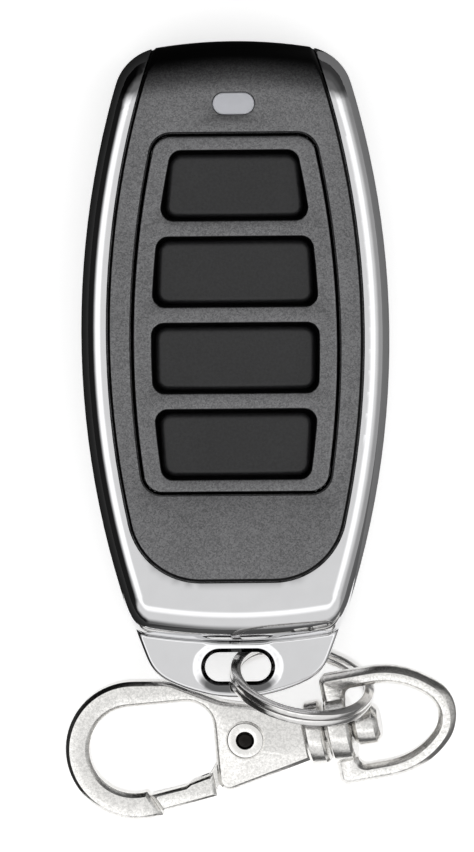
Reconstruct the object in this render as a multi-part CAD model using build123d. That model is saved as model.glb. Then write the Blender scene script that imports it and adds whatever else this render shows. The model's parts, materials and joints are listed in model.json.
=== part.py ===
from build123d import *
import math
import os

# Alarm key fob with split ring and swivel snap hook, all in millimetres.
# The fob lies on its flat back: X is right, Y towards the blunt nose, Z up through the keys.
# The origin is on the back, below the widest part of the body.

# Plan of the body
half_width = 15.35
widest_y = -0.5
side_radius = 88.0
nose_y = 28.8
nose_radius = 48.0
nose_corner = 5.2
heel_y = -31.05
heel_radius = 57.0

# Side view of the body
frame_top = 12.0
cover_proud = 0.4
nose_fall = 5.3
nose_fall_radius = 5.76
heel_roll = 4.0
rim_radius = 2.4
parting_z = 4.6
wall = 1.5
cover_clear = 0.1

# Face cover set between the chrome arms
arm_width = 2.65
cover_half_width = half_width - arm_width
cover_low_y = -25.05
cover_corner = 7.2
cover_gap = 0.18
cover_edge = 0.25
cover_flange = 1.0
flange_clear = 0.2

# Keypad surround and keys
pad_margin = 2.15
pad_half_width = cover_half_width - pad_margin
pad_widest_y = -1.5
pad_side_radius = 92.0
pad_top_y = 19.65
pad_low_y = -16.55
pad_corner = 2.3
pad_gap = 0.3
pad_edge = 0.2
pad_flange_out = 0.75
pad_flange_play = 0.35
pad_flange_height = 1.0
key_count = 4
first_key_y = 14.33
key_pitch = 8.58
key_height = 6.9
key_margin = 2.25
key_corner = 1.2
key_gap = 0.32
key_sink = 0.7
key_edge = 0.6
key_crown_radius = 75.0
key_flange_out = 0.5
key_flange_height = 0.6
key_flange_play = 0.2

# Signal window
window_length = 4.3
window_width = 2.3
window_y = 22.45
window_sink = 0.1
window_gap = 0.05
window_flange_out = 0.25
window_flange_height = 0.6
window_stem_end = 8.9

# Tab, slot and the cove where the tab leaves the body
tab_end_y = -36.7
tab_end_radius = 15.5
tab_corner = 4.5
tab_low = 5.6
tab_thickness = 1.8
tab_root_y = -27.5
tab_inset = 0.12
tab_edge = 0.45
tab_cove = 0.5
slot_length = 6.6
slot_width = 2.9
slot_y = -33.65
slot_edge = 0.4

# Rear cover
floor = 1.2
rear_edge = 1.5
lip_inset = 1.6
lip_thickness = 0.8
lip_height = 0.5
boss_radius = 2.2
post_radius = 1.5
screw_nose_y = 25.35
screw_arm_gap = 6.2
screw_heel_x = cover_half_width - screw_arm_gap
screw_heel_y = -21.6
screw_radius = 0.95
screw_clear = 0.05
screw_head_radius = 1.75
screw_head_height = 1.2
screw_head_clear = 0.15
screw_seat = 2.6
screw_length = 7.4
screw_slot_width = 0.4
screw_slot_depth = 0.5
post_floor = 1.0

# Circuit board and what sits on it
board_low = 5.2
board_thickness = 1.0
board_inset = 1.7
board_hole = 1.05
switch_side = 6.0
switch_height = 2.2
switch_well = 1.2
plunger_radius = 1.7
plunger_clear = 0.1
plunger_lift = 0.4
key_travel = 0.25
chip_length = 4.9
chip_width = 3.9
chip_height = 1.5
chip_x = 8.4
chip_y = 1.6
chip_leg_width = 0.42
chip_leg_reach = 1.0
chip_leg_thick = 0.2
chip_leg_pitch = 1.27
chip_leg_count = 4
chip_lift = 0.15
can_length = 4.6
can_radius = 1.6
can_height = 1.4
can_x = -8.4
can_y = 1.6
led_length = 3.0
led_width = 1.5
led_base_height = 0.6
led_dome_radius = 0.6
aerial_inset = 0.9
aerial_width = 0.9
aerial_thickness = 0.15
aerial_end_y = -6.0
smd_length = 1.6
smd_width = 0.8
smd_height = 0.5
smd_column_x = 7.6
smd_rows = 3
smd_pitch = 2.4
smd_first_y = 12.4

# Coin cell and its contacts
cell_side_gap = 5.35
cell_radius = half_width - cell_side_gap
cell_height = 3.2
cell_low = 1.6
cell_y = -2.0
cell_step = 0.9
cell_step_height = 0.25
contact_radius = 4.5
clip_width = 5.0
clip_sheet = 0.3
clip_clear = 0.3
clip_tab = 1.6

# Split ring: two flat turns joined by a crank
ring_outer = 7.3
ring_wire_width = 1.0
ring_wire_height = 0.62
ring_turn_gap = 0.06
ring_crank_half_angle = 10.0
ring_centre = (6.36, -35.3, 6.8)
ring_lean = 62.0
ring_turn = 11.4
ring_crank_place = 100.0

# Swivel joint of the snap hook, and the way the hook lies
swivel_centre = (10.24, -39.9, 5.25)
clasp_yaw = 10.0
clasp_pitch = 8.0
hook_roll = 10.0
loop_roll = 15.0
stem_radius = 1.12
swivel_clear = 0.08
boss_half_length = 1.15
loop_boss_radius = 3.4
neck_radius = 3.3
neck_length = 1.9
neck_gap = 0.35
head_radius = 2.1
head_length = 2.7
head_gap = 0.12
neck_edge = 0.3
head_edge = 0.5

# D loop
loop_half_width = 5.8
loop_straight = 4.0
loop_shoulder_radius = 8.96
loop_end_radius = 4.37
loop_band = 1.75
loop_thickness = 1.9
loop_edge = 0.5
loop_corner = 0.8

# Hook, cast with its plate
hook_thickness = 2.0
hook_edge = 0.4
claw_x = -20.7
claw_y = 1.57
claw_radius = 7.08
eye_x = -20.95
eye_y = 1.65
eye_radius = 4.45
claw_tip_x = -19.3
eye_tip_x = -20.45
claw_top_angle = 80.0
shoulder_x = -16.0
brow_x = -11.2
brow_y = 4.95
plate_end_half = 2.5
plate_low_x = -13.35
plate_low_y = -4.42
plate_corner = 1.2
throat_x = -12.2
throat_y = 5.35
throat_corner = 2.6
shoulder_corner = 3.0

# Gate, its rivet and its spring
pivot_x = -9.59
pivot_y = 0.71
rivet_radius = 0.9
rivet_clear = 0.03
rivet_proud = 0.05
rivet_edge = 0.25
gate_bore_clear = 0.08
rivet_boss_radius = 1.8
rivet_boss_proud = 0.22
gate_slot = 1.2
gate_tongue = 1.1
gate_hub = 1.6
gate_hub_clear = 0.8
gate_thickness = 2.0
gate_root_x = -13.55
gate_root_top_y = -2.15
gate_root_low_y = -4.45
gate_step_x = -16.0
gate_step_y = -2.6
gate_thin_x = -16.5
gate_thin_y = -2.9
gate_tip_top_x = -20.1
gate_tip_top_y = -3.15
gate_tip_low_x = -19.3
gate_tip_low_y = -5.0
gate_edge = 0.3
heel_lug_x = 1.5
heel_lug_top = 1.75
slot_mouth_y = 1.7
slot_mouth_x = -15.2
slot_foot_x = -11.6
slot_foot_y = -5.4
spring_radius = 0.5
spring_bore = 0.3
spring_length = 2.3
spring_pocket_clear = 0.06

# One overrun serves every cut
over = 1.0


def cover_top():
    return frame_top + cover_proud


def board_top():
    return board_low + board_thickness


def cover_under():
    """Underside of the face cover, which is level."""
    return cover_top() - wall


def pad_under():
    """Underside of the keypad surround's flange."""
    return cover_under() - cover_clear - pad_flange_height


def key_flange_top():
    return pad_under() - key_flange_play


def key_flange_low():
    return key_flange_top() - key_flange_height


def centred_box(x0, x1, y0, y1, z0, z1):
    centre = Location(((x0 + x1) / 2, (y0 + y1) / 2, (z0 + z1) / 2))
    return centre * Box(x1 - x0, y1 - y0, z1 - z0)


def prism(face, z0, z1):
    """Face in the XY plane raised from z0 to z1."""
    return extrude(Location((0, 0, z0)) * face, z1 - z0)


def disc(x, y, radius):
    return Location((x, y)) * Circle(radius)


def rod(x, y, radius, z0, z1):
    return prism(disc(x, y, radius), z0, z1)


def side_discs(half, radius, middle_y):
    """Lens whose two sides are arcs, half wide at middle_y."""
    right = disc(half - radius, middle_y, radius)
    left = disc(radius - half, middle_y, radius)
    return right & left


def near_y(vertices, low, high):
    return [v for v in vertices if low < v.Y < high]


def body_plan(inset=0.0):
    """Plan of the body: four arcs, the nose corners rounded, moved in by inset."""
    sides = side_discs(half_width - inset, side_radius - inset, widest_y)
    nose = disc(0, nose_y - nose_radius, nose_radius - inset)
    heel = disc(0, heel_y + heel_radius, heel_radius - inset)
    plan = sides & nose & heel
    return fillet(near_y(plan.vertices(), widest_y + over, nose_y), nose_corner - inset)


def skin_plan():
    """Plan of the body's skin, with the heel corners rounded too."""
    plan = body_plan()
    return fillet(near_y(plan.vertices(), heel_y - over, widest_y - over), rim_radius)


def rolled_disc(middle_y, radius, top, roll, reach, low):
    """Disc about an upright axis whose upper rim falls away over the last reach of its radius."""
    start = radius - reach
    drop = roll - math.sqrt(max(roll ** 2 - reach ** 2, 0))
    half_angle = math.asin(min(reach / roll, 1)) / 2
    middle = (start + roll * math.sin(half_angle), top - roll + roll * math.cos(half_angle))
    rim = (radius, top - drop)
    half_section = make_face(Wire([
        Line((0, low), (radius, low)),
        Line((radius, low), rim),
        ThreePointArc(rim, middle, (start, top)),
        Line((start, top), (0, top)),
        Line((0, top), (0, low)),
    ]))
    return Location((0, middle_y, 0)) * revolve(Plane.XZ * half_section, Axis.Z)


def form(top, inset, low):
    """Body's form with sharp rims: level top, falling nose and rolled heel, moved in by inset."""
    block = prism(body_plan(inset), low, top - inset)
    nose = rolled_disc(nose_y - nose_radius, nose_radius - inset, top - inset,
                       nose_fall_radius - inset, nose_fall - inset, low)
    heel = rolled_disc(heel_y + heel_radius, heel_radius - inset, top - inset,
                       heel_roll - inset, heel_roll - inset, low)
    return block & nose & heel


def is_rim(edge, low):
    """True where the side or nose wall meets the surfaces above it, and at the heel's upright corners."""
    box = edge.bounding_box()
    upright = box.size.X + box.size.Y < low / 10
    crosses = box.min.X < 0 < box.max.X
    if box.max.Z < low + low / 10 or (upright and box.max.Y > 0):
        return False
    return not crosses or box.max.Y > nose_y - nose_fall / 2


def hull(top, low):
    """Solid of the body's outer form from low up to its top, its rim rounded."""
    block = form(top, 0, low)
    return fillet([e for e in block.edges() if is_rim(e, low)], rim_radius)


def inside():
    """Space inside the skin, level under the face cover."""
    return form(cover_top(), wall, parting_z - over)


def cover_plan(grow=0.0):
    """Plan of the face cover: arced sides, rounded lower corners, open past the nose."""
    sides = side_discs(cover_half_width + grow, side_radius + grow, widest_y)
    low = cover_low_y - grow
    high = nose_y + over
    box = Location((0, (low + high) / 2)) * Rectangle(2 * half_width, high - low)
    plan = sides & box
    return fillet(near_y(plan.vertices(), low - over, widest_y - over), cover_corner + grow)


def pad_plan(grow=0.0):
    """Plan of the keypad surround, whose outline shows as a fine groove."""
    sides = side_discs(pad_half_width + grow, pad_side_radius + grow, pad_widest_y)
    low = pad_low_y - grow
    high = pad_top_y + grow
    box = Location((0, (low + high) / 2)) * Rectangle(2 * half_width, high - low)
    plan = sides & box
    return fillet(plan.vertices(), pad_corner + grow)


def key_y(index):
    return first_key_y - index * key_pitch


def key_plan(index, grow=0.0):
    """Plan of one key's opening: its sides run parallel to the surround's."""
    sides = side_discs(pad_half_width - key_margin + grow, pad_side_radius - key_margin + grow, pad_widest_y)
    box = Location((0, key_y(index))) * Rectangle(2 * half_width, key_height + 2 * grow)
    plan = sides & box
    return fillet(plan.vertices(), key_corner + grow)


def screw_places():
    return [(0, screw_nose_y), (screw_heel_x, screw_heel_y), (-screw_heel_x, screw_heel_y)]


def tab_plan():
    sides = side_discs(half_width - tab_inset, side_radius - tab_inset, widest_y)
    end = disc(0, tab_end_y + tab_end_radius, tab_end_radius)
    middle_y = (tab_root_y + tab_end_y - over) / 2
    box = Location((0, middle_y)) * Rectangle(2 * half_width, tab_root_y - tab_end_y + over)
    plan = sides & end & box
    return fillet(near_y(plan.vertices(), tab_end_y, heel_y), tab_corner)


def tab():
    """Flat tab with a rounded rim and the slot that takes the split ring."""
    top = tab_low + tab_thickness
    body = prism(tab_plan(), tab_low, top)
    rim = [e for e in body.edges() if e.bounding_box().size.Z < tab_edge and e.center().Y < tab_root_y - tab_edge]
    body = fillet(rim, tab_edge)
    slot = Location((0, slot_y)) * SlotOverall(slot_length, slot_width)
    body = body - prism(slot, tab_low - over, top + over)
    return chamfer([e for e in body.edges() if is_slot_rim(e)], slot_edge)


def is_slot_rim(edge):
    box = edge.bounding_box()
    level = box.size.Z < tab_edge
    beside = box.min.X > -slot_length and box.max.X < slot_length
    return level and beside and box.min.Y > slot_y - slot_width and box.max.Y < slot_y + slot_width


def is_cove(edge):
    """True along the foot of the heel, where the tab's top leaves the body."""
    box = edge.bounding_box()
    top = tab_low + tab_thickness
    return box.size.Z < tab_cove and abs(box.max.Z - top) < tab_cove / 4 and box.min.Y > heel_y - tab_cove


def chrome_frame():
    """Cast U-shaped frame: two arms, a rolled heel and the tab; the nose is left open for the cover."""
    outer = hull(frame_top, parting_z) + tab()
    outer = fillet([e for e in outer.edges() if is_cove(e)], tab_cove)
    pocket = prism(cover_plan(cover_gap), parting_z - over, cover_top() + over)
    return outer - inside() - pocket


def front_cover():
    """Moulded face: level top, nose end wall, flange under the chrome lip, and screw posts."""
    outer = hull(cover_top(), parting_z) & prism(cover_plan(), parting_z, cover_top() + over)
    ridge = [e for e in outer.edges() if is_cover_ridge(e)]
    outer = chamfer(ridge, cover_edge)
    cavity = inside()
    flange_top = cover_under() - cover_clear
    flange_low = flange_top - cover_flange
    flange = prism(body_plan(wall + flange_clear), flange_low, flange_top) & cavity
    middle_skin = form(cover_top(), wall / 2, parting_z)
    collar = prism(cover_plan(), flange_low, cover_top()) & middle_skin
    shell = (outer - cavity) + flange + collar
    shell = shell - prism(pad_plan(pad_flange_out + pad_flange_play), flange_low - over, cover_under())
    shell = shell - prism(pad_plan(), flange_low - over, cover_top() + over)
    for x, y in screw_places():
        shell = shell + (rod(x, y, post_radius, board_top(), cover_under() + cover_flange / 2) & middle_skin)
    for x, y in screw_places():
        shell = shell - rod(x, y, screw_radius + screw_clear, board_low, cover_under() - post_floor)
    place = Location((0, window_y))
    window = place * SlotOverall(window_length, window_width)
    grow = 2 * (window_flange_out + window_gap)
    seat = place * SlotOverall(window_length + grow, window_width + grow)
    shell = shell - prism(seat, board_top(), cover_under())
    return shell - prism(window, board_top(), cover_top() + over)


def is_cover_ridge(edge):
    box = edge.bounding_box()
    return box.max.Z > parting_z + over and box.min.Y < nose_y - over and box.max.Z > frame_top


def keypad_surround():
    """Insert with four openings; its flange is trapped under the face cover."""
    top = cover_top()
    flange_top = cover_under() - cover_clear
    flange = prism(pad_plan(pad_flange_out), pad_under(), flange_top)
    plate = prism(pad_plan(-pad_gap), pad_under(), top)
    plate = chamfer(plate.faces().sort_by(Axis.Z)[-1].edges(), pad_edge)
    body = flange + plate
    for index in range(key_count):
        body = body - prism(key_plan(index), pad_under() - over, top + over)
    return body


def button(index):
    """Soft key: crowned cap through the surround, with a flange that keeps it in."""
    top = cover_top() - key_sink
    cap = prism(key_plan(index, -key_gap), key_flange_low(), top)
    crown = Location((0, key_y(index), top - key_crown_radius)) * Rotation(90, 0, 0)
    cap = cap & (crown * Cylinder(key_crown_radius, 2 * key_height))
    cap = chamfer([e for e in cap.edges() if e.bounding_box().min.Z > key_flange_top() + key_edge], key_edge)
    flange = prism(key_plan(index, key_flange_out - key_gap), key_flange_low(), key_flange_top())
    return cap + flange


def light_pipe():
    """Clear oval window with a flange under the cover and a stem down to the lamp."""
    top = cover_top() - window_sink
    place = Location((0, window_y))
    lens = prism(place * SlotOverall(window_length - 2 * window_gap, window_width - 2 * window_gap),
                 window_stem_end, top)
    flange_top = cover_under() - window_gap
    grow = 2 * window_flange_out
    flange = prism(place * SlotOverall(window_length + grow, window_width + grow),
                   flange_top - window_flange_height, flange_top)
    lens = chamfer(lens.faces().sort_by(Axis.Z)[-1].edges(), window_sink)
    return lens + flange


def rear_cover():
    """Black back shell with a rounded lower edge, a locating lip and three screw bosses."""
    shell = prism(skin_plan(), 0, parting_z)
    shell = fillet(shell.faces().sort_by(Axis.Z)[0].edges(), rear_edge)
    shell = shell - prism(body_plan(wall), floor, parting_z + over)
    lip = prism(body_plan(lip_inset), floor, parting_z + lip_height)
    lip = lip - prism(body_plan(lip_inset + lip_thickness), floor - over, parting_z + over)
    shell = shell + lip
    for x, y in screw_places():
        boss = rod(x, y, boss_radius, floor / 2, board_low) & prism(body_plan(lip_inset), 0, board_low)
        shell = shell + boss
    for x, y in screw_places():
        shell = shell - rod(x, y, screw_radius + screw_clear, -over, board_low + over)
        shell = shell - rod(x, y, screw_head_radius + screw_head_clear, -over, screw_seat)
    return shell


def cover_screws():
    """Three self-tapping screws with cross slots, up through the back into the posts."""
    screws = []
    for x, y in screw_places():
        low = screw_seat - screw_head_height
        head = rod(x, y, screw_head_radius, low, screw_seat)
        shank = rod(x, y, screw_radius, screw_seat, screw_seat + screw_length - screw_head_height)
        screw = head + shank
        for angle in (0, 90):
            bar = Box(2 * screw_slot_depth + screw_head_radius, screw_slot_width, 2 * screw_slot_depth)
            screw = screw - Location((x, y, low)) * Rotation(0, 0, angle) * bar
        screws.append(screw)
    return Compound(children=screws)


def circuit_board():
    board = prism(body_plan(board_inset), board_low, board_top())
    for x, y in screw_places():
        board = board - rod(x, y, board_hole, board_low - over, board_top() + over)
    return board


def switch_bodies():
    """Four square tact switch bases, each with a well for its plunger."""
    bases = []
    top = board_top() + switch_height
    for index in range(key_count):
        base = Location((0, key_y(index), board_top() + switch_height / 2))
        base = base * Box(switch_side, switch_side, switch_height)
        well = rod(0, key_y(index), plunger_radius + plunger_clear, top - switch_well, top + over)
        bases.append(base - well)
    return Compound(children=bases)


def switch_plunger(index):
    """Round plunger from its well up to the underside of the key."""
    low = board_top() + switch_height - switch_well + plunger_lift
    return rod(0, key_y(index), plunger_radius, low, key_flange_low())


def encoder_chip():
    """Eight-legged chip, its gull legs standing on the board."""
    low = board_top() + chip_lift
    body = Location((chip_x, chip_y, (low + board_top() + chip_height) / 2))
    chip = body * Box(chip_width, chip_length, chip_height - chip_lift)
    for row in range(chip_leg_count):
        y = chip_y + (row - (chip_leg_count - 1) / 2) * chip_leg_pitch
        reach = chip_width / 2 + chip_leg_reach
        foot = centred_box(chip_x - reach, chip_x + reach, y - chip_leg_width / 2, y + chip_leg_width / 2,
                           board_top(), low + chip_leg_thick)
        middle = centred_box(chip_x - chip_width / 2, chip_x + chip_width / 2, y - chip_leg_width,
                             y + chip_leg_width, board_top(), low)
        chip = chip + (foot - middle)
    return chip


def resonator():
    """Low metal can with round ends."""
    can = SlotOverall(can_length, 2 * can_radius)
    place = Location((can_x, can_y)) * Rotation(0, 0, 90)
    body = prism(place * can, board_top(), board_top() + can_height)
    return chamfer(body.faces().sort_by(Axis.Z)[-1].edges(), can_height / 5)


def led():
    """Surface lamp under the window: a base with a clear dome."""
    base = Location((0, window_y, board_top() + led_base_height / 2))
    base = base * Box(led_length, led_width, led_base_height)
    dome = Location((0, window_y, board_top() + led_base_height)) * Sphere(led_dome_radius)
    keep = centred_box(-led_length, led_length, window_y - led_width, window_y + led_width,
                       board_top() + led_base_height / 2, window_stem_end)
    return base + (dome & keep)


def aerial():
    """Copper loop that runs along the board's edge round the heel end."""
    inset = board_inset + aerial_inset
    strip = body_plan(inset) - body_plan(inset + aerial_width)
    keep = Location((0, (aerial_end_y + tab_end_y) / 2)) * Rectangle(2 * half_width, aerial_end_y - tab_end_y)
    return prism(strip & keep, board_top(), board_top() + aerial_thickness)


def smd_parts():
    """Small chip resistors in two columns beside the upper keys."""
    parts = []
    for side in (-1, 1):
        for row in range(smd_rows):
            y = smd_first_y - row * smd_pitch
            place = Location((side * smd_column_x, y, board_top() + smd_height / 2))
            parts.append(place * Box(smd_length, smd_width, smd_height))
    return Compound(children=parts)


def battery():
    """Coin cell: a wide can below and a smaller cap above."""
    top = cell_low + cell_height
    can = rod(0, cell_y, cell_radius, cell_low, top - cell_step_height)
    cap = rod(0, cell_y, cell_radius - cell_step, cell_low, top)
    return can + cap


def battery_contact():
    return rod(0, cell_y, contact_radius, cell_low + cell_height, board_low)


def battery_clip():
    """Sheet strap under the cell, its two legs soldered to the board."""
    outer = cell_radius + clip_clear + clip_sheet
    low = cell_low - clip_sheet
    y0 = cell_y - clip_width / 2
    y1 = cell_y + clip_width / 2
    strap = centred_box(-outer, outer, y0, y1, low, cell_low)
    right = centred_box(outer - clip_sheet, outer, y0, y1, low, board_low)
    right = right + centred_box(outer - clip_sheet, outer + clip_tab, y0, y1, board_low - clip_sheet, board_low)
    return strap + right + mirror(right, Plane.YZ)


def ring_plane():
    """Plane of the split ring, leaning over the tab's end with its near side high."""
    turn = math.radians(ring_turn)
    lean = math.radians(ring_lean)
    across = Vector(math.cos(turn), -math.sin(turn), 0)
    back = Vector(math.sin(turn) * math.cos(lean), math.cos(turn) * math.cos(lean), -math.sin(lean))
    return Plane(origin=ring_centre, x_dir=across, z_dir=across.cross(back))


def split_ring():
    """Flat wire wound twice round: two level turns and the crank that joins them."""
    inner = ring_outer - ring_wire_width
    pitch = ring_wire_height + ring_turn_gap
    half = ring_wire_height / 2
    gap_face = make_face(Polyline(
        (0, 0),
        (2 * ring_outer, -2 * ring_outer * math.tan(math.radians(ring_crank_half_angle))),
        (2 * ring_outer, 2 * ring_outer * math.tan(math.radians(ring_crank_half_angle))),
        close=True))
    turn_face = Circle(ring_outer) - Circle(inner) - gap_face
    low_turn = prism(turn_face, -pitch / 2 - half, -pitch / 2 + half)
    high_turn = prism(turn_face, pitch / 2 - half, pitch / 2 + half)
    run = inner * math.sin(math.radians(ring_crank_half_angle))
    end = 2 * run
    step = make_face(Polyline(
        (-end, -pitch / 2 - half), (-run, -pitch / 2 - half), (run, pitch / 2 - half), (end, pitch / 2 - half),
        (end, pitch / 2 + half), (run, pitch / 2 + half), (-run, -pitch / 2 + half), (-end, -pitch / 2 + half),
        close=True))
    crank = extrude(Plane.YZ * step, 2 * ring_outer)
    crank = crank & prism(Circle(ring_outer) - Circle(inner), -ring_outer, ring_outer)
    reach = 2 * ring_outer * math.tan(math.radians(ring_crank_half_angle * 3 / 2))
    keep_face = make_face(Polyline((0, 0), (2 * ring_outer, -reach), (2 * ring_outer, reach), close=True))
    crank = crank & prism(keep_face, -ring_outer, ring_outer)
    ring = low_turn + high_turn + crank
    return ring_plane().location * (Rotation(0, 0, ring_crank_place) * ring)


def clasp_plane(roll):
    """Plane of a clasp piece: local X along the swivel towards the loop, local Z out of the plate."""
    yaw = math.radians(clasp_yaw)
    pitch = math.radians(clasp_pitch)
    turn = math.radians(roll)
    along = Vector(math.cos(pitch) * math.cos(yaw), math.cos(pitch) * math.sin(yaw), math.sin(pitch))
    level = Vector(-math.sin(yaw), math.cos(yaw), 0)
    upright = along.cross(level)
    normal = upright * math.cos(turn) - level * math.sin(turn)
    return Plane(origin=swivel_centre, x_dir=along, z_dir=normal)


def barrel(radius, x0, x1):
    """Cylinder on the swivel axis."""
    return Location(((x0 + x1) / 2, 0, 0)) * Rotation(0, 90, 0) * Cylinder(radius, x1 - x0)


def edged_barrel(radius, x0, x1, edge):
    body = barrel(radius, x0, x1)
    return chamfer(body.edges().filter_by(GeomType.CIRCLE), edge)


def loop_plan(inset, back):
    """Plan of the D loop from back to its round end, moved in by inset."""
    half = loop_half_width - inset
    bow = loop_shoulder_radius - inset
    lens = disc(loop_straight, half - bow, bow) & disc(loop_straight, bow - half, bow)
    beyond = Location((loop_straight + bow / 2, 0)) * Rectangle(bow, 2 * half)
    foot = Location(((back + loop_straight) / 2, 0)) * Rectangle(loop_straight - back, 2 * half)
    plan = (lens & beyond) + foot
    end = [v for v in plan.vertices() if v.X > loop_straight + bow / 2]
    plan = fillet(end, loop_end_radius - inset)
    return fillet([v for v in plan.vertices() if v.X < back + loop_corner], loop_corner)


def swivel_loop():
    """Cast D loop with a boss that turns on the hook's stem."""
    ring_face = loop_plan(0, -boss_half_length) - loop_plan(loop_band, boss_half_length)
    band = extrude(ring_face, loop_thickness / 2, both=True)
    band = chamfer([e for e in band.edges() if e.bounding_box().size.Z < loop_edge], loop_edge)
    boss = edged_barrel(loop_boss_radius, -boss_half_length, boss_half_length, neck_edge)
    bore = barrel(stem_radius + swivel_clear, -boss_half_length - over, boss_half_length + over)
    return clasp_plane(loop_roll).location * (band + boss - bore)


def on_circle(centre_x, centre_y, radius, x, sign):
    return (x, centre_y + sign * math.sqrt(radius ** 2 - (x - centre_x) ** 2))


def hook_face():
    """Outline of the claw and plate in the hook's own plane."""
    angle = math.radians(claw_top_angle)
    tip_outer = on_circle(claw_x, claw_y, claw_radius, claw_tip_x, -1)
    tip_inner = on_circle(eye_x, eye_y, eye_radius, eye_tip_x, -1)
    top = (claw_x + claw_radius * math.cos(angle), claw_y + claw_radius * math.sin(angle))
    shoulder = (shoulder_x, top[1] - (shoulder_x - top[0]) / math.tan(angle))
    neck_x = -boss_half_length - neck_gap - neck_length
    eye_top = (eye_x + eye_radius * math.cos(angle), eye_y + eye_radius * math.sin(angle))
    edges = [
        ThreePointArc(tip_outer, (claw_x - claw_radius, claw_y), top),
        *Polyline(top, shoulder, (brow_x, brow_y), (neck_x, plate_end_half), (neck_x, -plate_end_half),
                  (plate_low_x, plate_low_y), (throat_x, throat_y), eye_top).edges(),
        ThreePointArc(eye_top, (eye_x - eye_radius, eye_y), tip_inner),
        Line(tip_inner, tip_outer),
    ]
    face = make_face(Wire(edges))
    face = fillet(vertex_near(face, shoulder), shoulder_corner)
    face = fillet(vertex_near(face, (brow_x, brow_y)), shoulder_corner)
    face = fillet(vertex_near(face, (throat_x, throat_y)), throat_corner)
    return fillet(vertex_near(face, (plate_low_x, plate_low_y)), plate_corner)


def vertex_near(shape, point):
    target = Vector(point[0], point[1], 0)
    return [min(shape.vertices(), key=lambda v: (Vector(v.X, v.Y, v.Z) - target).length)]


def gate_cavity():
    """Slot between the two cheeks of the plate, with the pocket for the spring."""
    hub = disc(pivot_x, pivot_y, gate_hub + gate_hub_clear)
    mouth = make_face(Polyline(
        (pivot_x, pivot_y + gate_hub + gate_hub_clear), (slot_mouth_x, slot_mouth_y),
        (slot_mouth_x, slot_foot_y), (slot_foot_x, slot_foot_y),
        (pivot_x + gate_hub, pivot_y - gate_hub / 2), close=True))
    space = extrude(hub + mouth, gate_slot / 2, both=True)
    return space + spring_place(spring_radius + spring_pocket_clear, spring_length + spring_pocket_clear)


def spring_place(radius, length):
    start = pivot_x + heel_lug_x
    middle = Location((start + length / 2, pivot_y + heel_lug_top - spring_radius, 0))
    return middle * Rotation(0, 90, 0) * Cylinder(radius, length)


def hook_body():
    """Claw, slotted plate, neck, stem and the head that holds the loop on."""
    body = extrude(hook_face(), hook_thickness / 2, both=True)
    body = chamfer([e for e in body.edges() if e.bounding_box().size.Z < hook_edge], hook_edge)
    neck_end = -boss_half_length - neck_gap
    neck = edged_barrel(neck_radius, neck_end - neck_length, neck_end, neck_edge)
    head_start = boss_half_length + head_gap
    head = edged_barrel(head_radius, head_start, head_start + head_length, head_edge)
    stem = barrel(stem_radius, neck_end - neck_length / 2, head_start + head_length / 2)
    half = hook_thickness / 2 + rivet_boss_proud
    rivet_boss = rod(pivot_x, pivot_y, rivet_boss_radius, -half, half)
    body = body + rivet_boss + neck + stem + head
    body = body - gate_cavity()
    body = body - rod(pivot_x, pivot_y, rivet_radius + rivet_clear, -neck_radius, neck_radius)
    return clasp_plane(hook_roll).location * body


def gate():
    """Gate lever: hub on the rivet, tongue in the slot, and the stepped bar that meets the claw."""
    root = [(gate_root_x, gate_root_top_y), (gate_root_x, gate_root_low_y)]
    bar_face = make_face(Polyline(
        root[1], (gate_tip_low_x, gate_tip_low_y), (gate_tip_top_x, gate_tip_top_y),
        (gate_thin_x, gate_thin_y), (gate_step_x, gate_step_y), root[0], close=True))
    bar = extrude(bar_face, gate_thickness / 2, both=True)
    bar = chamfer([e for e in bar.edges() if e.bounding_box().size.Z < gate_edge], gate_edge)
    hub = disc(pivot_x, pivot_y, gate_hub)
    inside = gate_root_x - gate_edge - gate_edge
    tongue_face = make_face(Polyline(
        (pivot_x - gate_hub * 3 / 4, pivot_y + gate_hub / 2), (inside, gate_root_top_y - gate_edge),
        (inside, gate_root_low_y + gate_edge), (pivot_x, pivot_y - gate_hub), close=True))
    lug = make_face(Polyline(
        (pivot_x - gate_hub / 2, pivot_y), (pivot_x + heel_lug_x - spring_pocket_clear, pivot_y),
        (pivot_x + heel_lug_x - spring_pocket_clear, pivot_y + heel_lug_top), (pivot_x, pivot_y + heel_lug_top),
        close=True))
    tongue = extrude(hub + tongue_face + lug, gate_tongue / 2, both=True)
    bore = rod(pivot_x, pivot_y, rivet_radius + gate_bore_clear, -gate_slot, gate_slot)
    return clasp_plane(hook_roll).location * (bar + tongue - bore)


def gate_rivet():
    half = hook_thickness / 2 + rivet_boss_proud + rivet_proud
    rivet = rod(pivot_x, pivot_y, rivet_radius, -half, half)
    rivet = chamfer(rivet.edges().filter_by(GeomType.CIRCLE), rivet_edge)
    return clasp_plane(hook_roll).location * rivet


def gate_spring():
    """Spring that shuts the gate, as the tube that its coils fill."""
    tube = spring_place(spring_radius, spring_length - spring_pocket_clear)
    tube = tube - spring_place(spring_bore, 2 * spring_length)
    return clasp_plane(hook_roll).location * tube


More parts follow.
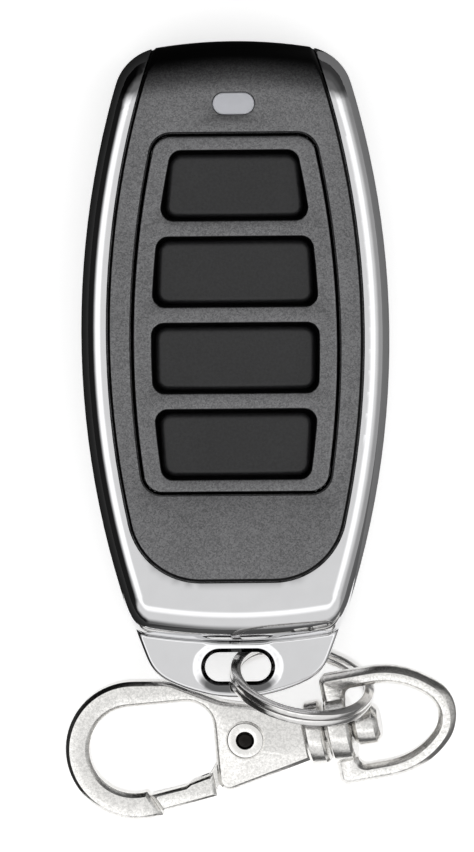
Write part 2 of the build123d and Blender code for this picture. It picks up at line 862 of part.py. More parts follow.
def nodes():
    parts = {
        "chrome_frame": chrome_frame(),
        "front_cover": front_cover(),
        "keypad_surround": keypad_surround(),
        "light_pipe": light_pipe(),
        "rear_cover": rear_cover(),
        "cover_screws": cover_screws(),
        "circuit_board": circuit_board(),
        "switch_bodies": switch_bodies(),
        "encoder_chip": encoder_chip(),
        "resonator": resonator(),
        "led": led(),
        "aerial": aerial(),
        "smd_parts": smd_parts(),
        "battery": battery(),
        "battery_contact": battery_contact(),
        "battery_clip": battery_clip(),
        "split_ring": split_ring(),
        "swivel_loop": swivel_loop(),
        "hook_body": hook_body(),
        "gate": gate(),
        "gate_rivet": gate_rivet(),
        "gate_spring": gate_spring(),
    }
    for index in range(key_count):
        parts[f"button_{index + 1}"] = button(index)
        parts[f"switch_plunger_{index + 1}"] = switch_plunger(index)
    return parts


os.makedirs("parts", exist_ok=True)
for name, shape in nodes().items():
    export_step(shape, f"parts/{name}.step")
    size = shape.bounding_box().size
    print(f"{name}: {size.X:.2f} x {size.Y:.2f} x {size.Z:.2f} mm, {shape.volume:.2f} mm3")
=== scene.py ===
# %% [markdown]
# # An alarm key fob on its hook
#
# A remote control for an alarm lies on its back, seen from straight above. A bright U-shaped
# frame holds a dark face with four keys, and a split ring joins its tab to a cast snap hook.
# The solids come from CAD and give every size. This script adds what CAD doesn't hold: the soft
# rims of the keys, the wound spring, the finish of each surface, the light and the camera.

# %% Load the frame
import json
import math
import bpy
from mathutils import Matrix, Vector


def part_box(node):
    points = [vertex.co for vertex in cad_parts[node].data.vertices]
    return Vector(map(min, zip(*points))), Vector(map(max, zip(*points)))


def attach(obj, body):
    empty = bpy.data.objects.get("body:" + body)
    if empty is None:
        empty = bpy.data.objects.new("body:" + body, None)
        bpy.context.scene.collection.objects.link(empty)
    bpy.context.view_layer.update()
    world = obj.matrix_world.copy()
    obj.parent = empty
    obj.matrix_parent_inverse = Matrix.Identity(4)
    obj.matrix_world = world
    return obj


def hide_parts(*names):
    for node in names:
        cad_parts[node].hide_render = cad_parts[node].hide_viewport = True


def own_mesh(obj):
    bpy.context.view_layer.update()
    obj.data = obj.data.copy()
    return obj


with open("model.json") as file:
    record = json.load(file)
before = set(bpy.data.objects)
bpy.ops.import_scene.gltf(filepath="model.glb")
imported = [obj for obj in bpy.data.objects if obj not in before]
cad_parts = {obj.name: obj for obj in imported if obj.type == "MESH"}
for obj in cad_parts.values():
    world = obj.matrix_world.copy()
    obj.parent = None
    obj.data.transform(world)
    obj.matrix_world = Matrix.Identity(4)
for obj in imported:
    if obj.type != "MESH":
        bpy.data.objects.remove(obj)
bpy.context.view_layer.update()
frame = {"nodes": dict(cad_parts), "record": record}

MM = 0.001
nodes = frame["nodes"]
record = frame["record"]

# %% [markdown]
# ## Sums with sockets
#
# A finish is a formula: gloss is a middle value plus a little noise, and height is a sum of
# grains. Blender keeps such a formula as nodes and links, which take many lines to write out.
# This small class lets it be written as one expression. It wraps one output of a node, and a sum
# of two wrapped outputs adds the Math node that works it out.


# %% Wire: an output that can be added, scaled and mixed
class Wire:
    """One output of a material's nodes, which can be added, scaled and mixed."""

    def __init__(self, tree, socket=None):
        self.tree = tree
        self.socket = socket

    def feed(self, target, value):
        """Links a wire to an input, or sets a plain value on it."""
        if isinstance(value, Wire):
            self.tree.links.new(value.socket, target)
        else:
            target.default_value = value

    def make(self, kind, settings, sockets, out=0):
        """Adds a node of one type: its settings first, then its inputs. Gives one of its outputs."""
        node = self.tree.nodes.new("ShaderNode" + kind)
        for name, value in settings.items():
            setattr(node, name, value)
        for name, value in sockets.items():
            self.feed(node.inputs[name], value)
        return Wire(self.tree, node.outputs[out])

    def maths(self, operation, a, b=0.0):
        return self.make("Math", {"operation": operation}, {0: a, 1: b})

    def vector(self, operation, a, b, out=0):
        return self.make("VectorMath", {"operation": operation}, {0: a, 1: b}, out)

    def part(self, index):
        """One coordinate of a vector: 0 for x, 1 for y, 2 for z."""
        return self.make("SeparateXYZ", {}, {0: self}, index)

    def __add__(self, other):
        return self.maths("ADD", self, other)

    __radd__ = __add__

    def __mul__(self, other):
        return self.maths("MULTIPLY", self, other)

    __rmul__ = __mul__

    def __sub__(self, other):
        return self.maths("SUBTRACT", self, other)

    def __rsub__(self, other):
        return self.maths("SUBTRACT", other, self)

    def step(self, low, high):
        """Rises smoothly from 0 to 1 while this goes from low to high."""
        settings = {"interpolation_type": "SMOOTHSTEP"}
        return self.make("MapRange", settings, {0: self, 1: low, 2: high, 3: 0.0, 4: 1.0})

    def between(self, dark, light):
        """Goes from one colour to the other as this goes from 0 to 1."""
        sockets = {0: self, 6: (*dark, 1.0), 7: (*light, 1.0)}
        return self.make("Mix", {"data_type": "RGBA"}, sockets, 2)


print("Wire is ready")


# %% Helpers that every finish uses
def grain(place, size, detail=2.0, rough=0.5):
    """Noise from 0 to 1 with grains of one size, in metres."""
    sockets = {"Vector": place, "Scale": 1.0 / size, "Detail": detail, "Roughness": rough}
    return place.make("TexNoise", {}, sockets, 0)


def around(middle, noise, spread):
    """A value that follows the noise, by half of the spread either side of the middle."""
    return noise * spread + (middle - spread / 2)


def shade(colour, amount):
    return tuple(min(1.0, part * amount) for part in colour)


def material(name, metallic=0.0, coat=0.0):
    """A new material: gives it, its shader node and the place of each point in metres."""
    made = bpy.data.materials.new(name)
    made.use_nodes = True
    tree = made.node_tree
    shader = tree.nodes["Principled BSDF"]
    shader.inputs["Metallic"].default_value = metallic
    shader.inputs["Coat Weight"].default_value = coat
    return made, shader, Wire(tree).make("TexCoord", {}, {}, "Object")


def bump(shader, place, height, depth):
    """Raises the surface by height times depth metres, in its shading only."""
    sockets = {"Strength": 1.0, "Distance": depth, "Height": height}
    place.feed(shader.inputs["Normal"], place.make("Bump", {}, sockets, 0))


def sheet_mesh(name, corners, level):
    """A flat face with its corners in metres, as an object in the scene."""
    mesh = bpy.data.meshes.new(name)
    mesh.from_pydata([(x, y, level) for x, y in corners], [], [tuple(range(len(corners)))])
    made = bpy.data.objects.new(name, mesh)
    bpy.context.scene.collection.objects.link(made)
    return made


print("finishes are written with Wire")

# %% [markdown]
# ## Plated metal
#
# The frame is a die casting, polished and plated with chromium, so its grain is too fine to see
# and only a faint unevenness of the polish is left. The hook and its loop are zinc castings that
# were tumbled, not polished by hand, before nickel plating: they keep shallow dimples of a third
# of a millimetre and pores much smaller than that. One formula gives both, as they differ only in
# the size and depth of the dimples. A picture of real plating would be another way, but it holds
# reflections of one room and shows a seam where it repeats.


# %% Plated metal
FILM_LOW, FILM_HIGH = 0.30, 0.66
FILM_BROAD, FILM_HALF_SIZE = 0.6, 0.4
BROAD_SHARE, FINE_SHARE = 0.8, 0.2
PORES = 9


def plated(name, colour, roughness, dimple, depth, mottle=0.03, darkest_or_painted_shade=None, worked=None):
    """Plated metal: dimples of one size under a film that is a little uneven."""
    made, shader, place = material(name, metallic=1.0)
    broad = grain(place, dimple, 1.0)
    fine = grain(place, dimple / PORES, 3.0)
    cover = broad * FILM_BROAD + grain(place, dimple / 2) * FILM_HALF_SIZE
    film = cover.step(FILM_LOW, FILM_HIGH)
    height = (broad * BROAD_SHARE + fine * FINE_SHARE) * depth
    if worked:
        film, raised = worked(place, film)
        height = height + raised
    # Where a worked place gives a tone of 0, this darkest tone is painted shade.
    dark = shade(colour, darkest_or_painted_shade or 1 - mottle)
    place.feed(shader.inputs["Base Color"], film.between(dark, shade(colour, 1 + mottle)))
    place.feed(shader.inputs["Roughness"], around(roughness, fine, roughness / 2))
    bump(shader, place, height, 1.0)
    return made


print("plated metal: pores are", PORES, "times smaller than dimples")

# %% [markdown]
# ## Two places worked after casting
#
# The polishing wheel rolls the rim of the tab's slot over, so the rim mirrors the bright part of
# the room. Inside the slot, shade is painted into the chrome's colour: a painted reflection of the
# dark under the tab. Round the gate's rivet the casting is milled flat to seat it, which leaves a
# paler disc with a fine line round it. Both relief and tone are a matter of hundredths of a
# millimetre, so they are made in the finish, from the distance of each point to the slot's middle
# line or to the rivet's axis.


# %% Rim of the slot
SLOT_Y, SLOT_HALF, SLOT_RADIUS = -33.65 * MM, 1.85 * MM, 1.85 * MM
RIM_START, RIM_END, RIM_RISE = -0.30 * MM, 1.05 * MM, 0.30 * MM
EDGE_BLUR = 0.04 * MM
CHROME_DRIFT = 0.03


def slot_rim_and_painted_shade(place, film):
    """The tab's slot: its rim is rolled over, and shade is painted into the colour inside it."""
    past = place.maths("MAXIMUM", place.maths("ABSOLUTE", place.part(0)) - SLOT_HALF, 0.0)
    up = place.part(1) - SLOT_Y
    away = place.maths("SQRT", past * past + up * up) - SLOT_RADIUS
    # Painted shade: inside the slot, where this mask is 0, the chrome's colour goes dark.
    clear_of_painted_shade = away.step(-EDGE_BLUR, EDGE_BLUR)
    tone = (film * CHROME_DRIFT + (1 - CHROME_DRIFT)) * clear_of_painted_shade
    return tone, away.step(RIM_START, RIM_END) * RIM_RISE


print("slot rim:", round((RIM_END - RIM_START) / MM, 2), "mm wide")

# %% Seat of the rivet
SEAT_RADIUS, SEAT_BLUR = 1.85 * MM, 0.12 * MM
LINE_HALF, LINE_DEPTH = 0.14 * MM, -0.06 * MM


def rivet_seat(place, film):
    """The milled seat round the rivet: paler than the casting, with a fine line round it."""
    pin = nodes["gate_rivet"].data
    axis = max(pin.polygons, key=lambda face: face.normal.z).normal
    middle = sum((v.co for v in pin.vertices), Vector()) / len(pin.vertices)
    offset = place.vector("SUBTRACT", place, tuple(middle))
    across = place.vector("CROSS_PRODUCT", offset, tuple(axis))
    away = place.make("VectorMath", {"operation": "LENGTH"}, {0: across}, "Value")
    seat = 1.0 - away.step(SEAT_RADIUS - SEAT_BLUR, SEAT_RADIUS)
    inner = away.step(SEAT_RADIUS - LINE_HALF, SEAT_RADIUS)
    outer = away.step(SEAT_RADIUS, SEAT_RADIUS + LINE_HALF)
    return film + seat, inner * (1.0 - outer) * LINE_DEPTH


print("rivet seat:", round(2 * SEAT_RADIUS / MM, 2), "mm across")

# %% [markdown]
# ## Sheet, wire and turned steel
#
# The split ring is drawn wire, the screws are turned, and the cell and its contacts are pressed
# from sheet, so all of them carry fine lines in one direction. The lines are noise whose place
# is squeezed along x, which draws each grain out into a line. The gloss follows the lines too,
# as a lamp's reflection on brushed metal is streaked and not only rough.


# %% Brushed steel
LINE_STRETCH = (0.08, 1.0, 1.0)
STEEL_CLOUD, CLOUD_DARK, CLOUD_LIGHT = 2.5 * MM, 0.9, 1.06
STREAKS, LINE_RELIEF = 0.2, 0.004 * MM


def pressed_steel(name, colour, roughness, line):
    """Sheet or turned steel: brushed lines run along x, and the gloss changes with them."""
    made, shader, place = material(name, metallic=1.0)
    stretched = place.make("Mapping", {}, {"Vector": place, "Scale": LINE_STRETCH})
    lines = grain(stretched, line, 3.0)
    tone = grain(place, STEEL_CLOUD).between(shade(colour, CLOUD_DARK), shade(colour, CLOUD_LIGHT))
    place.feed(shader.inputs["Base Color"], tone)
    place.feed(shader.inputs["Roughness"], around(roughness, lines, STREAKS))
    bump(shader, place, lines, LINE_RELIEF)
    return made


print("brushed steel: lines", round(1 / LINE_STRETCH[0], 1), "times longer than wide")

# %% The metals
CHROME, NICKEL, BLACKENED = (0.70, 0.70, 0.71), (0.76, 0.75, 0.73), (0.016, 0.015, 0.014)
metals = {
    # The chrome's darkest tone, 0.22, is the painted shade inside the tab's slot.
    "bright_chrome": plated("bright_chrome", CHROME, roughness=0.05, dimple=3.0 * MM, depth=0.004 * MM,
                            mottle=0.01, darkest_or_painted_shade=0.22, worked=slot_rim_and_painted_shade),
    "cast_nickel": plated("cast_nickel", NICKEL, roughness=0.20, dimple=0.34 * MM, depth=0.014 * MM,
                          mottle=0.11, worked=rivet_seat),
    "rivet_dark": plated("rivet_dark", BLACKENED, roughness=0.14, dimple=0.4 * MM, depth=0.01 * MM,
                         mottle=0.15),
}

# Each steel has a colour, a roughness and the width of its lines in millimetres.
steels = {
    "ring_nickel": ((0.82, 0.81, 0.80), 0.18, 0.15),
    "spring_steel": ((0.42, 0.41, 0.40), 0.30, 0.1),
    "screw_steel": ((0.52, 0.52, 0.53), 0.30, 0.12),
    "cell_steel": ((0.60, 0.60, 0.61), 0.28, 0.3),
    "contact_steel": ((0.56, 0.55, 0.52), 0.26, 0.2),
    "can_steel": ((0.62, 0.62, 0.62), 0.25, 0.25),
    "copper": ((0.72, 0.40, 0.24), 0.28, 0.2),
}
for name, (colour, roughness, line) in steels.items():
    metals[name] = pressed_steel(name, colour, roughness, line * MM)
print("metals:", ", ".join(metals))

# %% [markdown]
# ## Lacquer on the face
#
# The face plate is moulded and then sprayed with a graphite lacquer. Its flakes lie flat, so the
# plate is a satin metal to the eye. Where the nose and the face's rounded edges roll away from the
# light, shade is painted into its colour. Noise alone looks like cloth here. Each cell of a Voronoi
# pattern has one tone, as a flake has, and the part of the surface's direction that points up sets
# the painted shade.


# %% Metal-flake lacquer
LACQUER_METAL = 0.92
FLAKE_SHARE, CLOUD_SHARE = 0.7, 0.3
TONE_RANGE, TONE_LEAST = 0.7, 0.38
PAINTED_SHADE_TONE, BRIGHT_FLAKE = 0.06, 1.28
PAINTED_SHADE_FROM, PAINTED_SHADE_TO = 0.74, 0.99
FACE_CLOUD, ORANGE_PEEL, FLAKE_RELIEF = 6 * MM, 0.25 * MM, 0.0035 * MM


def lacquer(name, colour, roughness, flake):
    """Sprayed metal-flake lacquer: each flake has its own tone and tilt, and shade is painted where the face
    turns down.
    """
    made, shader, place = material(name, metallic=LACQUER_METAL)
    flakes = place.make("TexVoronoi", {}, {"Vector": place, "Scale": 1.0 / flake}, "Color")
    tone = place.make("SeparateColor", {}, {0: flakes}, 0)
    cloud = grain(place, FACE_CLOUD)
    mixed = tone * FLAKE_SHARE + cloud * CLOUD_SHARE
    facing = place.make("TexCoord", {}, {}, "Normal")
    # Painted shade: the colour goes nearly black where the face turns away from facing up.
    tilt_painted_shade = facing.part(2).step(PAINTED_SHADE_FROM, PAINTED_SHADE_TO)
    toned_and_shaded = (mixed * TONE_RANGE + TONE_LEAST) * tilt_painted_shade
    dark, light = shade(colour, PAINTED_SHADE_TONE), shade(colour, BRIGHT_FLAKE)
    place.feed(shader.inputs["Base Color"], toned_and_shaded.between(dark, light))
    place.feed(shader.inputs["Roughness"], around(roughness, cloud, 0.06))
    bump(shader, place, tone + grain(place, ORANGE_PEEL), FLAKE_RELIEF)
    return made


print("lacquer: metal", LACQUER_METAL)

# %% [markdown]
# ## Moulded plastic
#
# The keys, the back and the switches come out of a mould whose steel was spark-eroded. That
# leaves a fine grain which scatters what the plastic reflects, and the depth of the grain makes
# the difference between them. The same noise feeds tone, gloss and height, because in a real pit
# all three change together. A slow drift over millimetres keeps large areas from looking even.


# %% Spark-eroded plastic
DRIFT = 5 * MM
TONE_PITS, TONE_DRIFT = 0.75, 0.25
GLOSS_PITS, GLOSS_DRIFT = 0.12, 0.06
PIT_DARK, PIT_LIGHT = 0.6, 1.45


def moulded(name, colour, roughness, size, depth):
    """Moulded plastic: a spark-eroded grain in height, gloss and tone, with a slow drift."""
    made, shader, place = material(name)
    pits = grain(place, size, 4.0, 0.7)
    drift = grain(place, DRIFT)
    tone = (pits * TONE_PITS + drift * TONE_DRIFT).step(0.3, 0.7)
    place.feed(shader.inputs["Base Color"], tone.between(shade(colour, PIT_DARK), shade(colour, PIT_LIGHT)))
    gloss = pits * GLOSS_PITS + drift * GLOSS_DRIFT
    place.feed(shader.inputs["Roughness"], gloss + (roughness - (GLOSS_PITS + GLOSS_DRIFT) / 2))
    bump(shader, place, pits, depth)
    return made


print("moulded plastic is ready")

# %% [markdown]
# ## Window, lamp and board
#
# The window is the frosted end of a plastic rod that leads the lamp's light up to the face. Fully
# clear plastic would show the dark inside, so only a quarter of the light passes and the rest
# scatters near the surface. The board is glass cloth under green lacquer, and its weave is two
# crossed sets of waves. It is seen only when the shells are taken off, like the chips on it.

# %% Frosted plastic and solder mask
LET_THROUGH = 0.25
HAZE, FROST, FROST_RELIEF = 0.8 * MM, 0.12 * MM, 0.004 * MM
WEAVE_SCALE, WEAVE_SWAY, WEAVE_RELIEF = 320.0, 0.6, 0.006 * MM
MASK_DARK, MASK_LIGHT = (0.010, 0.075, 0.030), (0.022, 0.13, 0.05)


def frosted(name, colour):
    """Frosted clear plastic: some of the light goes in, and the surface is a little cloudy."""
    made, shader, place = material(name, coat=0.3)
    shader.inputs["Transmission Weight"].default_value = LET_THROUGH
    haze = grain(place, HAZE, 3.0)
    place.feed(shader.inputs["Base Color"], haze.between(shade(colour, 0.93), shade(colour, 1.05)))
    place.feed(shader.inputs["Roughness"], around(0.43, haze, 0.1))
    bump(shader, place, grain(place, FROST), FROST_RELIEF)
    return made


def solder_mask(name):
    """Green lacquer over glass cloth: the weave shows through as a faint square grid."""
    made, shader, place = material(name, coat=0.4)
    threads = {"Vector": place, "Scale": WEAVE_SCALE, "Distortion": WEAVE_SWAY}
    warp, weft = (place.make("TexWave", {"bands_direction": way}, threads, 0) for way in "XY")
    weave = warp * 0.5 + weft * 0.5
    place.feed(shader.inputs["Base Color"], weave.between(MASK_DARK, MASK_LIGHT))
    place.feed(shader.inputs["Roughness"], around(0.35, weave, 0.1))
    bump(shader, place, weave, WEAVE_RELIEF)
    return made


print("window lets through", LET_THROUGH)

# %% The plastics
# Each moulding has a colour, a roughness, and the size and depth of its pits in millimetres.
mouldings = {
    "key_rubber": ((0.0145, 0.0145, 0.0155), 0.46, 0.30, 0.020),
    "black_back": ((0.018, 0.018, 0.019), 0.52, 0.16, 0.020),
    "switch_black": ((0.020, 0.020, 0.020), 0.40, 0.12, 0.008),
    "plunger_grey": ((0.35, 0.35, 0.33), 0.45, 0.12, 0.008),
    "chip_black": ((0.022, 0.022, 0.023), 0.50, 0.08, 0.008),
    "chip_ceramic": ((0.55, 0.52, 0.46), 0.45, 0.06, 0.006),
}
plastics = {
    "black_face": lacquer("black_face", (0.176, 0.176, 0.180), 0.34, 0.12 * MM),
    "grey_lens": frosted("grey_lens", (0.78, 0.79, 0.84)),
    "lamp_clear": frosted("lamp_clear", (0.80, 0.82, 0.80)),
    "board_green": solder_mask("board_green"),
}
for name, (colour, roughness, size, depth) in mouldings.items():
    plastics[name] = moulded(name, colour, roughness, size * MM, depth * MM)
finishes = {**metals, **plastics}
print("plastics:", ", ".join(plastics))

# %% [markdown]
# ## Dressing the CAD nodes
#
# Each solid names a material slot in the record, and gets the finish of that name, so that no
# node is forgotten. The solids have true radii where the radius is large. The small breaks along
# their edges, a tenth of a millimetre or so, are left to a bevel here: it makes the thin
# highlights that a real edge has. A weld comes first, because the solids arrive with their faces
# apart, and a bevel needs an edge that two faces share.

# %% One finish for each slot
slot_of = {piece["node"]: piece["material_slot"] for piece in record["subparts"]}
for name, solid in nodes.items():
    finish = finishes[slot_of[name]]
    if not solid.material_slots:
        solid.data.materials.append(finish)
    for place in solid.material_slots:
        place.material = finish
print("dressed", len(nodes), "nodes")

# %% Softened edges
EDGE_ANGLE = math.radians(32)
WELD_MM = 0.002
BREAK_SEGMENTS = 3

# Widths in millimetres.
edge_breaks = {"hook_body": 0.48, "swivel_loop": 0.40, "gate": 0.26, "gate_rivet": 0.12, "split_ring": 0.08,
               "front_cover": 0.36, "keypad_surround": 0.20, "light_pipe": 0.06, "chrome_frame": 0.18,
               "rear_cover": 0.10}
for name, width in edge_breaks.items():
    solid = nodes[name]
    weld = solid.modifiers.new("weld", "WELD")
    weld.merge_threshold = WELD_MM * MM
    soften = solid.modifiers.new("edge_break", "BEVEL")
    soften.width = width * MM
    soften.segments = BREAK_SEGMENTS
    soften.limit_method = "ANGLE"
    soften.angle_limit = EDGE_ANGLE
    soften.harden_normals = True
    for face in solid.data.polygons:
        face.use_smooth = True
print(len(edge_breaks), "nodes have softened edges")

# %% [markdown]
# ## The key pads
#
# Each key is a cap with a generously rounded rim, so that a thumb finds it by feel. CAD gives it
# a plain chamfer; here the top of the cap is one grid of points. A bevel on the CAD key would
# round the rim too, but not crown the top. Where a point falls in a corner its distance from the
# corner's centre is kept and its direction too, which bends the grid's square corner into a round
# one. The rim is a quarter circle, worked out from how far a point is from the edge, and the
# whole top follows a shallow crown across the fob.

# %% The top of a cap
RIM = 0.55 * MM
CORNER = 1.2 * MM
CROWN = 75 * MM
ACROSS, ALONG = 56, 28
EVEN_SHARE, PACKED_SHARE = 0.55, 0.45
STEEPEST = 0.985


def spread(count):
    """Steps from -1 to 1, packed closer together towards both ends."""
    steps = [2 * k / count - 1 for k in range(count + 1)]
    return [EVEN_SHARE * s + PACKED_SHARE * math.sin(s * math.pi / 2) for s in steps]


def cap_point(u, v, low, high, sides):
    """Place of one grid point on the cap, with u and v from -1 to 1."""
    middle = (low + high) / 2
    half_y = (high.y - low.y) / 2
    y = v * half_y
    half_x = sides(middle.y + y)
    x = u * half_x
    over_x = abs(x) - (half_x - CORNER)
    over_y = abs(y) - (half_y - CORNER)
    rim = min(half_x - abs(x), half_y - abs(y))
    if over_x > 0 and over_y > 0:
        away = math.hypot(over_x, over_y)
        reach = max(over_x, over_y)
        x = math.copysign(half_x - CORNER + over_x / away * reach, x)
        y = math.copysign(half_y - CORNER + over_y / away * reach, y)
        rim = CORNER - reach
    drop = 1 - min(rim / RIM, 1.0)
    fall = RIM * (1 - math.sqrt(1 - min(drop, STEEPEST) ** 2))
    crown = x * x / (2 * CROWN)
    return Vector((x, middle.y + y, high.z - crown - fall))


print("a cap's top has", (ACROSS + 1) * (ALONG + 1), "points")

# %% Faces and border of the grid
ROW = ACROSS + 1


def grid_faces():
    return [(j * ROW + i, j * ROW + i + 1, (j + 1) * ROW + i + 1, (j + 1) * ROW + i)
            for j in range(ALONG) for i in range(ACROSS)]


def grid_border():
    """The outer points of the grid, in order round it."""
    near = [i for i in range(ACROSS)]
    right = [j * ROW + ACROSS for j in range(ALONG)]
    far = [ALONG * ROW + i for i in range(ACROSS, 0, -1)]
    left = [j * ROW for j in range(ALONG, 0, -1)]
    return near + right + far + left


print("the border has", len(grid_border()), "points")


# %% One key's cap
SKIRT_DEPTH = 1.6 * MM
SIDE_WINDOW = 1.2 * MM
FLANGE_EDGE = 0.02 * MM


def key_cap(index):
    """One key's cap: a crowned grid with a skirt down to the flange of the CAD key."""
    solid = nodes[f"button_{index}"]
    low, high = (Vector(corner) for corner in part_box(f"button_{index}"))
    wide_low, wide_high = (Vector(corner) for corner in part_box(f"button_{index}"))
    shell = [v.co.copy() for v in solid.data.vertices if v.co.z > high.z - SKIRT_DEPTH]
    low.y = min(p.y for p in shell)
    high.y = max(p.y for p in shell)

    def sides(y):
        near = [abs(p.x) for p in shell if abs(p.y - y) < SIDE_WINDOW]
        return max(near) if near else max(abs(p.x) for p in shell)

    ends = [sides(low.y + CORNER), sides(high.y - CORNER)]
    slope = (ends[1] - ends[0]) / (high.y - low.y)

    def side_line(y):
        return ends[0] + slope * (y - low.y)

    points = [cap_point(u, v, low, high, side_line) for v in spread(ALONG) for u in spread(ACROSS)]
    faces = grid_faces()
    above = grid_border()
    rim = [points[i] for i in above]
    middle = (low.y + high.y) / 2
    grow_x = wide_high.x / max(p.x for p in rim)
    grow_y = (wide_high.y - wide_low.y) / (high.y - low.y)
    flange = [Vector((p.x * grow_x, middle + (p.y - middle) * grow_y, 0.0)) for p in rim]
    flange_top = max(v.co.z for v in solid.data.vertices if v.co.y < wide_low.y + FLANGE_EDGE)
    count = len(rim)
    for ring, level in ((rim, flange_top), (flange, flange_top), (flange, low.z)):
        below = list(range(len(points), len(points) + count))
        points += [Vector((p.x, p.y, level)) for p in ring]
        faces += [(above[k], below[k], below[(k + 1) % count], above[(k + 1) % count]) for k in range(count)]
        above = below
    faces.append(tuple(reversed(above)))

    mesh = bpy.data.meshes.new(f"key_cap_{index}")
    mesh.from_pydata(points, [], faces)
    mesh.polygons.foreach_set("use_smooth", [True] * len(mesh.polygons))
    mesh.update()
    cap = bpy.data.objects.new(f"key_cap_{index}", mesh)
    bpy.context.scene.collection.objects.link(cap)
    mesh.materials.append(finishes["key_rubber"])
    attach(cap, f"key_{index}")
    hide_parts(f"button_{index}")
    return cap


caps = [key_cap(index) for index in (1, 2, 3, 4)]
print("key caps:", [tuple(round(s / MM, 1) for s in cap.dimensions) for cap in caps])

# %% [markdown]
# ## The gate's spring
#
# A small coil spring sits in the slotted plate and pushes the gate shut. CAD keeps only the tube
# that its coils fill. Here it is wound from round wire, six turns with the first and last part of
# the travel left flat, as such springs are closed at both ends so that they stand square. A curve
# with a round bevel would give the same wire, but a mesh can be squashed along the spring's own
# line.

# %% Line of the spring
SPRING_NEAR = Vector((1.9686, -39.3985, 4.4611)) * MM
SPRING_FAR = Vector((4.1531, -39.0133, 4.7729)) * MM
COIL, WIRE_RADIUS = 0.4 * MM, 0.085 * MM
TURNS, STEPS, SIDES = 6, 24, 8
CLOSED_END = 0.06

along = (SPRING_FAR - SPRING_NEAR).normalized()
side = along.orthogonal().normalized()
up = along.cross(side)
travel = (SPRING_FAR - SPRING_NEAR).length - 2 * WIRE_RADIUS


def spring_line(t):
    """Middle of the wire and the outward direction, with t from 0 to 1 along it."""
    turn = 2 * math.pi * TURNS * t
    rise = min(max((t - CLOSED_END) / (1 - 2 * CLOSED_END), 0.0), 1.0)
    outward = side * math.cos(turn) + up * math.sin(turn)
    return SPRING_NEAR + along * (WIRE_RADIUS + travel * rise) + outward * COIL, outward


print("spring:", round(travel / MM, 2), "mm of travel in", TURNS, "turns")


# %% Wind the spring
def wound_spring():
    """Round wire along a helix whose two ends are closed."""
    count = TURNS * STEPS
    points = []
    for k in range(count + 1):
        here, outward = spring_line(k / count)
        ahead = spring_line(min(k + 1, count) / count)[0] - spring_line(max(k - 1, 0) / count)[0]
        across = ahead.normalized().cross(outward)
        for j in range(SIDES):
            angle = 2 * math.pi * j / SIDES
            points.append(here + (outward * math.cos(angle) + across * math.sin(angle)) * WIRE_RADIUS)
    faces = []
    for k in range(count):
        near, far = k * SIDES, (k + 1) * SIDES
        faces += [(near + j, near + (j + 1) % SIDES, far + (j + 1) % SIDES, far + j) for j in range(SIDES)]
    faces += [tuple(reversed(range(SIDES))), tuple(count * SIDES + j for j in range(SIDES))]
    mesh = bpy.data.meshes.new("spring_coil")
    mesh.from_pydata(points, [], faces)
    mesh.polygons.foreach_set("use_smooth", [len(face) == 4 for face in faces])
    coil = bpy.data.objects.new("spring_coil", mesh)
    bpy.context.scene.collection.objects.link(coil)
    mesh.materials.append(finishes["spring_steel"])
    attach(coil, "hook")
    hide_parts("gate_spring")
    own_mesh(coil)
    return coil


spring = wound_spring()
print("spring:", len(spring.data.vertices), "points")

# %% [markdown]
# ## The room
#
# Bright metal shows its surroundings, so the room does the work of the lamps. It could be built
# from glowing sheets, but it is simpler as a sky that depends only on direction: even light
# overhead, a brighter ring round it like a light tent's wall, and dark sides low down, which draw
# the black lines along the frame's outer edges. It is darker towards the nose, where the face
# rolls over, and low on the left, and a little lighter low on the right.

# %% The room
OVERHEAD, RING_GLOW = 0.91, 0.56
LOW_LEFT, LOW_RIGHT_MORE = 0.015, 0.42
NOSE_LOSS = 0.88

# Where each part of the room begins and is complete, as a coordinate of the direction.
RING_OUTER, RING_INNER, RING_DROP = (0.60, 0.74), (0.87, 0.94), 0.07
WALL_FOOT, LEFT_LIFT, HEEL_DROP = (0.28, 0.56), 0.14, 0.30
LEFTWARD, NOSEWARD = (-0.15, 0.35), (0.14, 0.52)
HEELWARD, LOW_HEEL = (0.10, 0.40), (0.30, 0.70)


def room():
    """The studio's walls as a formula of direction."""
    world = bpy.data.worlds.new("studio")
    bpy.context.scene.world = world
    world.use_nodes = True
    tree = world.node_tree
    tree.nodes.clear()
    way = Wire(tree).make("TexCoord", {}, {}, "Generated")
    x, y, z = (way.part(k) for k in range(3))
    heelward = (0.0 - y).step(*HEELWARD)
    ring = z.step(*RING_OUTER) * (1.0 - (z + heelward * RING_DROP).step(*RING_INNER))
    left = (0.0 - x).step(*LEFTWARD)
    noseward = y.step(*NOSEWARD)
    low_heel = (0.0 - y).step(*LOW_HEEL)
    walls = (z - left * LEFT_LIFT + low_heel * HEEL_DROP).step(*WALL_FOOT)
    low = LOW_LEFT + (1.0 - left) * LOW_RIGHT_MORE
    light = (low * (1.0 - walls) + walls * OVERHEAD + ring * RING_GLOW) * (1.0 - noseward * NOSE_LOSS)
    sky = way.make("Background", {}, {"Color": (1, 1, 1, 1), "Strength": light})
    out = tree.nodes.new("ShaderNodeOutputWorld")
    way.feed(out.inputs["Surface"], sky)


room()
print("room:", OVERHEAD, "overhead,", OVERHEAD + RING_GLOW, "in the ring")

# %% [markdown]
# ## Floor and cards
#
# The fob lies on white card. The card glows for the camera and in reflections, so it comes out
# white, and it still takes the fob's shadow. Polished sides would mirror that white, while in the
# photograph they are nearly black: a photographer lays black card beside the object, just outside
# the picture. Here such cards lie on the floor and even under the fob, and show only in
# reflections. None lies under the hook, which mirrors the white floor.

# %% The floor
FLOOR_HALF, FLOOR_LEVEL, FLOOR_GLOW = 0.6, -0.1 * MM, 0.56
FIBRE, CARD_DARK, CARD_LIGHT = 0.4 * MM, (0.93, 0.93, 0.93), (0.96, 0.96, 0.96)
BLACK, WHITE = (0, 0, 0), (1, 1, 1)


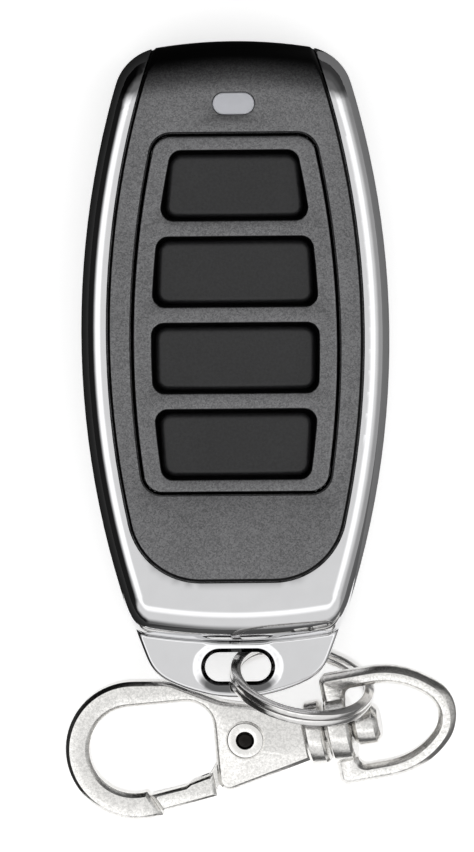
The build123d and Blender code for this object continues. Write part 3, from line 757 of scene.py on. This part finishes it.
def floor():
    """A sheet of white card under the fob, a tenth of a millimetre below its back."""
    half = FLOOR_HALF
    card = sheet_mesh("floor", [(-half, -half), (half, -half), (half, half), (-half, half)], FLOOR_LEVEL)
    made, shader, place = material("card")
    fibre = grain(place, FIBRE, 3.0)
    place.feed(shader.inputs["Base Color"], fibre.between(CARD_DARK, CARD_LIGHT))
    shader.inputs["Roughness"].default_value = 0.9
    shader.inputs["Emission Strength"].default_value = FLOOR_GLOW
    kinds = ("Is Camera Ray", "Is Glossy Ray", "Is Transmission Ray")
    seen = [place.make("LightPath", {}, {}, name) for name in kinds]
    rays = place.maths("MINIMUM", seen[0] + seen[1] + seen[2], 1.0)
    place.feed(shader.inputs["Emission Color"], rays.between(BLACK, WHITE))
    card.data.materials.append(made)


floor()
print("floor:", 2 * FLOOR_HALF, "m wide")


# %% The cards beside the fob
FLAG_LEVEL, FELT = -0.05 * MM, 0.5 * MM
FAR = 600
HEEL, NOSE = -28, 24

# Each card has a tone and its corners in millimetres.
flags = {
    "flag_left": (0.01, [(-FAR, -FAR), (-17.6, -FAR), (-17.6, HEEL), (-8, HEEL), (-8, NOSE), (-11, NOSE),
                         (-11, FAR), (-FAR, FAR)]),
    "flag_nose": (0.02, [(-11, NOSE), (11, NOSE), (11, FAR), (-11, FAR)]),
    "flag_right": (0.27, [(8, HEEL), (FAR, HEEL), (FAR, FAR), (11, FAR), (11, NOSE), (8, NOSE)]),
    "flag_loop": (0.16, [(23, -FAR), (FAR, -FAR), (FAR, HEEL), (23, HEEL)]),
    "flag_heel": (0.08, [(-17.6, -FAR), (23, -FAR), (23, -56), (-17.6, -56)]),
}


def flag(name, tone, corners):
    """A card beside the fob that only shows in reflections, as a photographer's black flag does."""
    card = sheet_mesh(name, [(x * MM, y * MM) for x, y in corners], FLAG_LEVEL)
    made, shader, place = material(name)
    felt = grain(place, FELT, 3.0)
    place.feed(shader.inputs["Base Color"], felt.between((tone * 0.9,) * 3, (tone * 1.1,) * 3))
    shader.inputs["Roughness"].default_value = 0.95
    card.data.materials.append(made)
    card.visible_camera = False
    card.visible_diffuse = False
    card.visible_transmission = False
    card.visible_shadow = False


for name, (tone, corners) in flags.items():
    flag(name, tone, corners)
print("cards:", ", ".join(flags))

# %% [markdown]
# ## The camera
#
# A catalogue picture of so flat a thing is taken from far off with a long lens, so that the raised
# face isn't drawn larger than the frame round it. The camera looks straight down from a metre and
# is turned by half a degree, as the fob is in the photograph.

# %% The camera
LENS, SENSOR = 422.6, 36.0
STAND = (0.00009, -0.0096, 1.006)
TURNED = math.radians(-0.476)


def camera():
    """The photograph's viewpoint: straight down, turned by half a degree."""
    lens = bpy.data.cameras.new("camera")
    lens.lens = LENS
    lens.sensor_width = SENSOR
    lens.clip_start = 0.01
    seen_from = bpy.data.objects.new("camera", lens)
    bpy.context.scene.collection.objects.link(seen_from)
    seen_from.location = STAND
    seen_from.rotation_euler = (0.0, 0.0, TURNED)
    bpy.context.scene.camera = seen_from


camera()
bpy.context.scene.view_settings.view_transform = "Standard"
print("camera stands", STAND[2], "m above the floor")
